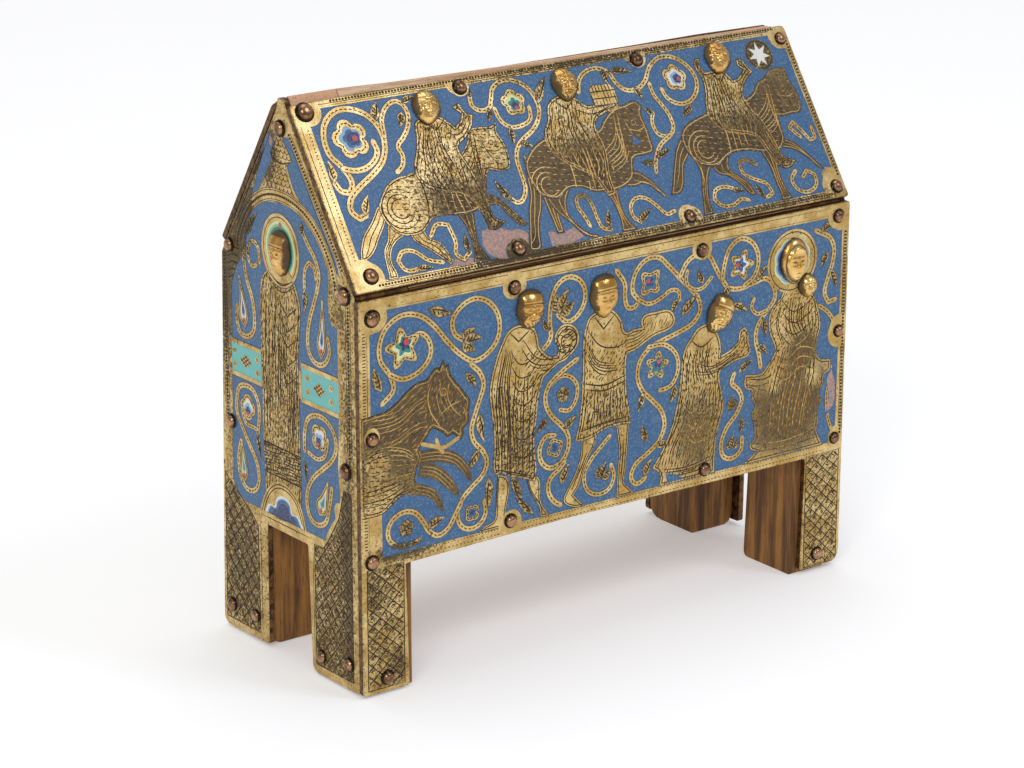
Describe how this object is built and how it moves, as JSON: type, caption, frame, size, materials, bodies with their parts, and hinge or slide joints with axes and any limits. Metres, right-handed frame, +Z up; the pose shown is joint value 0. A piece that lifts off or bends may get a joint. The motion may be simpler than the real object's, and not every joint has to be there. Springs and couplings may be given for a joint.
{
  "type": "reliquary casket",
  "caption": "Hollow oak reliquary casket with a gabled roof and block feet, clad in gilt copper plates with enamelled scenes, domed nails and applied relief heads.",
  "frame": {"origin": "middle of the bounding box on the surface the feet stand on", "axes": "+X along the ridge towards the end the figures walk to, +Z up, -Y out of the pictured long side"},
  "size_m": [0.2088, 0.0874, 0.1854],
  "materials": {
    "enamelled_copper": "gilt copper reserved against deep blue champleve enamel, rubbed and tarnished",
    "gilt_copper": "cast and chased gilt copper, rubbed on the high parts",
    "nail_copper": "domed copper nail heads with worn gilding and dark rims",
    "oak": "old dry oak, open grain, darkened"
  },
  "bodies": {
    "root": {"head_child": "gilt_copper", "head_magus_1": "gilt_copper", "head_magus_2": "gilt_copper", "head_magus_3": "gilt_copper", "head_rider_1": "gilt_copper", "head_rider_2": "gilt_copper", "head_rider_3": "gilt_copper", "head_saint_left": "gilt_copper", "head_saint_right": "gilt_copper", "head_virgin": "gilt_copper", "nail_back_01": "nail_copper", "nail_back_02": "nail_copper", "nail_front_01": "nail_copper", "nail_front_02": "nail_copper", "nail_front_03": "nail_copper", "nail_front_04": "nail_copper", "nail_front_05": "nail_copper", "nail_front_06": "nail_copper", "nail_front_07": "nail_copper", "nail_front_08": "nail_copper", "nail_front_09": "nail_copper", "nail_front_10": "nail_copper", "nail_front_11": "nail_copper", "nail_front_12": "nail_copper", "nail_gable_01": "nail_copper", "nail_gable_02": "nail_copper", "nail_gable_03": "nail_copper", "nail_gable_04": "nail_copper", "nail_gable_05": "nail_copper", "nail_gable_06": "nail_copper", "nail_gable_07": "nail_copper", "nail_gable_08": "nail_copper", "nail_gable_09": "nail_copper", "nail_roof_01": "nail_copper", "nail_roof_02": "nail_copper", "nail_roof_03": "nail_copper", "nail_roof_04": "nail_copper", "nail_roof_05": "nail_copper", "nail_roof_06": "nail_copper", "nail_roof_07": "nail_copper", "nail_roof_08": "nail_copper", "oak_end_left": "oak", "oak_end_right": "oak", "oak_floor": "oak", "oak_roof_back": "oak", "oak_roof_front": "oak", "oak_wall_back": "oak", "oak_wall_front": "oak", "plate_back": "enamelled_copper", "plate_front": "enamelled_copper", "plate_gable_left": "enamelled_copper", "plate_gable_right": "enamelled_copper", "plate_roof_back": "enamelled_copper", "plate_roof_front": "enamelled_copper"}
  },
  "joints": []
}
